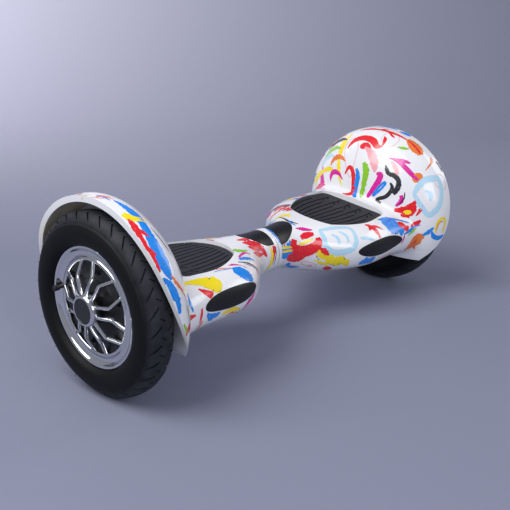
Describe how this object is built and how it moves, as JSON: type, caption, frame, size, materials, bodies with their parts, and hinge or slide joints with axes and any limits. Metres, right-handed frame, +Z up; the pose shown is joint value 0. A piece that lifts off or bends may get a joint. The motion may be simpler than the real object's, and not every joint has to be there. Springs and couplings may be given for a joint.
{
  "type": "self balancing hoverboard",
  "caption": "Two-wheeled self-balancing board with halves that twist about a middle pivot, hub-motor wheels with chrome spoked covers, ribbed foot pads and mudguards.",
  "frame": {"origin": "on the ground, under the middle of the pivot and of the board", "axes": "+X along the board with the right wheel at +X, -Y the front with the lights, +Z up"},
  "size_m": [0.6804, 0.2867, 0.2725],
  "materials": {
    "shell_plastic": "gloss",
    "pad_rubber": "matte",
    "smoked_lens": "satin",
    "cast_aluminium": "cast",
    "zinc_steel": "zinc plated",
    "bright_steel": "ground",
    "spring_steel": "blued",
    "motor_steel": "laminated",
    "copper_wire": "enamelled",
    "magnet": "nickel plated",
    "black_metal": "satin",
    "tyre_rubber": "matte",
    "chrome_cover": "polished",
    "badge_black": "gloss",
    "valve_black": "matte",
    "nylon": "matte",
    "seal_rubber": "matte",
    "cap_rubber": "matte",
    "cable_sheath": "matte",
    "circuit_board": "matte",
    "battery_wrap": "satin",
    "black_plastic": "matte"
  },
  "bodies": {
    "left_chassis": {"button_bush": "black_plastic", "charge_port": "black_plastic", "left_axle": "bright_steel", "left_axle_clamp": "cast_aluminium", "left_clamp_screws": "zinc_steel", "left_frame": "cast_aluminium", "left_front_lens": "smoked_lens", "left_lamp_boards": "circuit_board", "left_lower_shell": "shell_plastic", "left_sensor_board": "circuit_board", "left_shell_screws": "zinc_steel", "left_stator_coils": "copper_wire", "left_stator_core": "motor_steel", "left_top_window": "smoked_lens", "left_upper_shell": "shell_plastic", "link_cable": "cable_sheath", "mainboard": "circuit_board", "neck_seal": "seal_rubber", "pivot_clip": "spring_steel", "pivot_tube": "bright_steel"},
    "right_chassis": {"battery_pack": "battery_wrap", "battery_straps": "zinc_steel", "pivot_bushes": "nylon", "right_axle": "bright_steel", "right_axle_clamp": "cast_aluminium", "right_clamp_screws": "zinc_steel", "right_frame": "cast_aluminium", "right_front_lens": "smoked_lens", "right_lamp_boards": "circuit_board", "right_lower_shell": "shell_plastic", "right_sensor_board": "circuit_board", "right_shell_screws": "zinc_steel", "right_stator_coils": "copper_wire", "right_stator_core": "motor_steel", "right_top_window": "smoked_lens", "right_upper_shell": "shell_plastic"},
    "left_wheel": {"left_cover_bolts": "black_metal", "left_hub_badge": "badge_black", "left_hub_rim": "cast_aluminium", "left_inner_motor_cover": "black_metal", "left_motor_magnets": "magnet", "left_outer_motor_cover": "black_metal", "left_tyre": "tyre_rubber", "left_tyre_valve": "valve_black", "left_wheel_bearings": "bright_steel", "left_wheel_cover": "chrome_cover"},
    "right_wheel": {"right_cover_bolts": "black_metal", "right_hub_badge": "badge_black", "right_hub_rim": "cast_aluminium", "right_inner_motor_cover": "black_metal", "right_motor_magnets": "magnet", "right_outer_motor_cover": "black_metal", "right_tyre": "tyre_rubber", "right_tyre_valve": "valve_black", "right_wheel_bearings": "bright_steel", "right_wheel_cover": "chrome_cover"},
    "left_pad": {"left_foot_pad": "pad_rubber"},
    "right_pad": {"right_foot_pad": "pad_rubber"},
    "button": {"power_button": "badge_black"},
    "cap": {"charge_cap": "cap_rubber"}
  },
  "joints": [
    {"name": "centre_pivot", "type": "hinge", "parent": "left_chassis", "child": "right_chassis", "pos_m": [0, 0, 0.126], "axis": [1, 0, 0], "range_deg": [-21.3, 6.7]},
    {"name": "left_wheel_spin", "type": "hinge", "parent": "left_chassis", "child": "left_wheel", "pos_m": [-0.308, 0, 0.126], "axis": [1, 0, 0], "continuous": true},
    {"name": "right_wheel_spin", "type": "hinge", "parent": "right_chassis", "child": "right_wheel", "pos_m": [0.308, 0, 0.126], "axis": [1, 0, 0], "continuous": true},
    {"name": "left_pad_press", "type": "slide", "parent": "left_chassis", "child": "left_pad", "axis": [0, 0, -1], "range_m": [0, 0.0012], "stiffness_N_per_m": 6000, "springref_m": -0.0003},
    {"name": "right_pad_press", "type": "slide", "parent": "right_chassis", "child": "right_pad", "axis": [0, 0.1271, -0.9919], "range_m": [0, 0.0012], "stiffness_N_per_m": 6000, "springref_m": -0.0003},
    {"name": "power_button_press", "type": "slide", "parent": "left_chassis", "child": "button", "axis": [0, -1, 0], "range_m": [0, 0.0015], "stiffness_N_per_m": 800, "springref_m": -0.0005},
    {"name": "charge_cap_hinge", "type": "hinge", "parent": "left_chassis", "child": "cap", "pos_m": [-0.17, 0.1088, 0.133], "axis": [1, 0, 0], "range_deg": [0, 110]}
  ]
}
